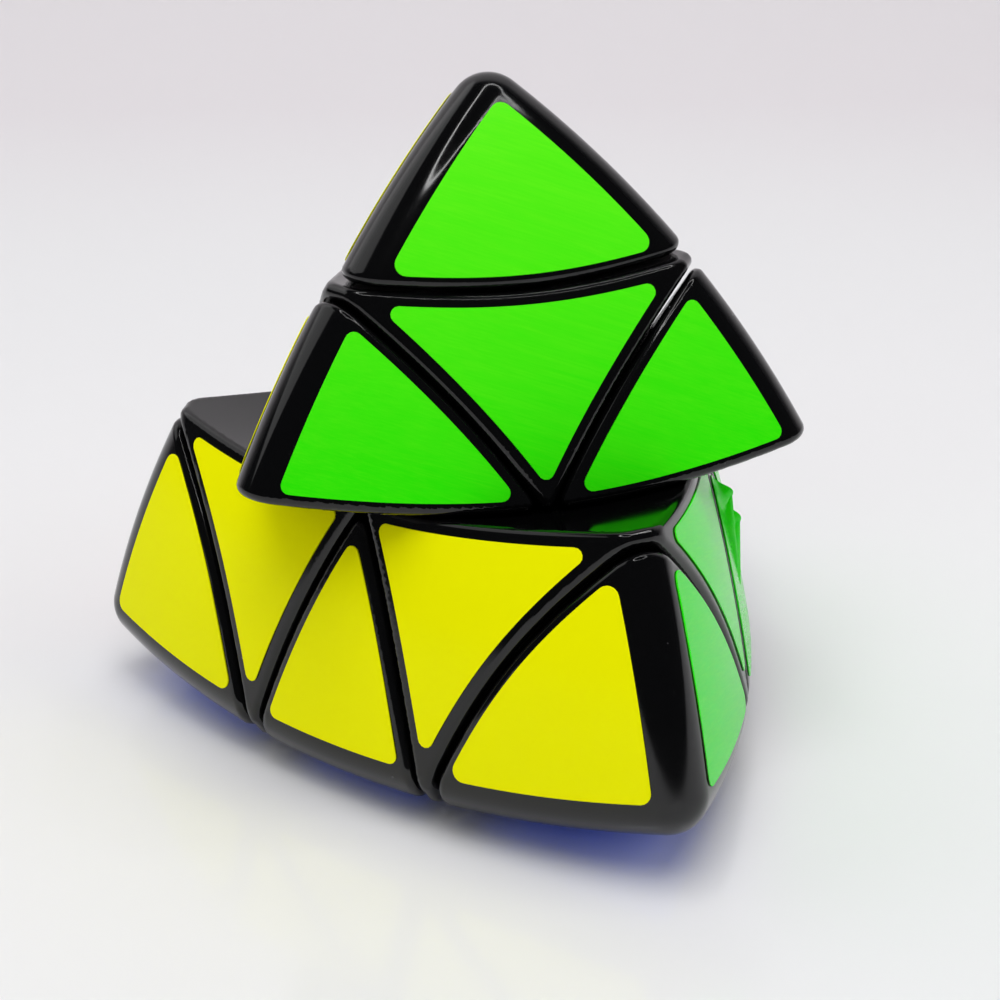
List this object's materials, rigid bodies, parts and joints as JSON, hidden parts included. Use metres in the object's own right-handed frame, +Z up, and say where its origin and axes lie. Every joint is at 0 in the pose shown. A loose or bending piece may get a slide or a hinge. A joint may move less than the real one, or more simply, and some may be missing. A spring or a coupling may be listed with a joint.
{
  "type": "pyramid twisty puzzle",
  "caption": "Pillowed four-cornered twisty puzzle in black plastic with coloured stickers; its top layer is part turned and its corner tips spin.",
  "frame": {"origin": "the point where the middle of the bulging base face touches the table; the core's centre is 28.2 mm above it", "axes": "+Z up along the top layer's turning axis; -Y is the middle of the yellow face of the lower layers; +X to the right of it"},
  "size_m": [0.0936, 0.0928, 0.0836],
  "materials": {
    "black_plastic": "polished black injection-moulded plastic",
    "inner_plastic": "plain black moulded plastic inside the pieces",
    "core_plastic": "off-white moulded bearing plastic",
    "steel": "zinc-plated steel hardware",
    "sticker_green": "glossy vinyl film, finely scratched",
    "sticker_yellow": "glossy vinyl film",
    "sticker_red": "glossy vinyl film",
    "sticker_blue": "glossy vinyl film"
  },
  "bodies": {
    "base_layers": {"core": "core_plastic", "axis_screws": "steel", "spring_washers": "steel", "axis_springs": "steel", "axial_cap_left": "black_plastic", "axial_cap_right": "black_plastic", "axial_cap_back": "black_plastic", "axial_hub_left": "core_plastic", "axial_hub_right": "core_plastic", "axial_hub_back": "core_plastic", "edge_cap_left_right": "black_plastic", "edge_cap_right_back": "black_plastic", "edge_cap_back_left": "black_plastic", "edge_foot_left_right": "inner_plastic", "edge_foot_right_back": "inner_plastic", "edge_foot_back_left": "inner_plastic", "base_stickers_yellow": "sticker_yellow", "base_stickers_green": "sticker_green", "base_stickers_red": "sticker_red", "base_stickers_blue": "sticker_blue"},
    "top_layer": {"axial_cap_top": "black_plastic", "axial_hub_top": "core_plastic", "edge_cap_top_left": "black_plastic", "edge_cap_top_right": "black_plastic", "edge_cap_top_back": "black_plastic", "edge_foot_top_left": "inner_plastic", "edge_foot_top_right": "inner_plastic", "edge_foot_top_back": "inner_plastic", "top_layer_stickers_yellow": "sticker_yellow", "top_layer_stickers_green": "sticker_green", "top_layer_stickers_red": "sticker_red"},
    "top_tip": {"tip_cap_top": "black_plastic", "tip_pivot_top": "inner_plastic", "tip_top_sticker_yellow": "sticker_yellow", "tip_top_sticker_green": "sticker_green", "tip_top_sticker_red": "sticker_red"},
    "left_tip": {"tip_cap_left": "black_plastic", "tip_pivot_left": "inner_plastic", "tip_left_sticker_yellow": "sticker_yellow", "tip_left_sticker_red": "sticker_red", "tip_left_sticker_blue": "sticker_blue"},
    "right_tip": {"tip_cap_right": "black_plastic", "tip_pivot_right": "inner_plastic", "tip_right_sticker_yellow": "sticker_yellow", "tip_right_sticker_green": "sticker_green", "tip_right_sticker_blue": "sticker_blue"},
    "back_tip": {"tip_cap_back": "black_plastic", "tip_pivot_back": "inner_plastic", "tip_back_sticker_green": "sticker_green", "tip_back_sticker_red": "sticker_red", "tip_back_sticker_blue": "sticker_blue"}
  },
  "joints": [
    {"name": "top_layer_turn", "type": "hinge", "parent": "base_layers", "child": "top_layer", "pos_m": [0, 0, 0.0282], "axis": [0, 0, 1], "continuous": true},
    {"name": "top_tip_turn", "type": "hinge", "parent": "top_layer", "child": "top_tip", "pos_m": [0, 0, 0.0282], "axis": [0, 0, 1], "continuous": true},
    {"name": "left_tip_turn", "type": "hinge", "parent": "base_layers", "child": "left_tip", "pos_m": [0, 0, 0.0282], "axis": [-0.8165, -0.4714, -0.3333], "continuous": true},
    {"name": "right_tip_turn", "type": "hinge", "parent": "base_layers", "child": "right_tip", "pos_m": [0, 0, 0.0282], "axis": [0.8165, -0.4714, -0.3333], "continuous": true},
    {"name": "back_tip_turn", "type": "hinge", "parent": "base_layers", "child": "back_tip", "pos_m": [0, 0, 0.0282], "axis": [0, 0.9428, -0.3333], "continuous": true}
  ]
}
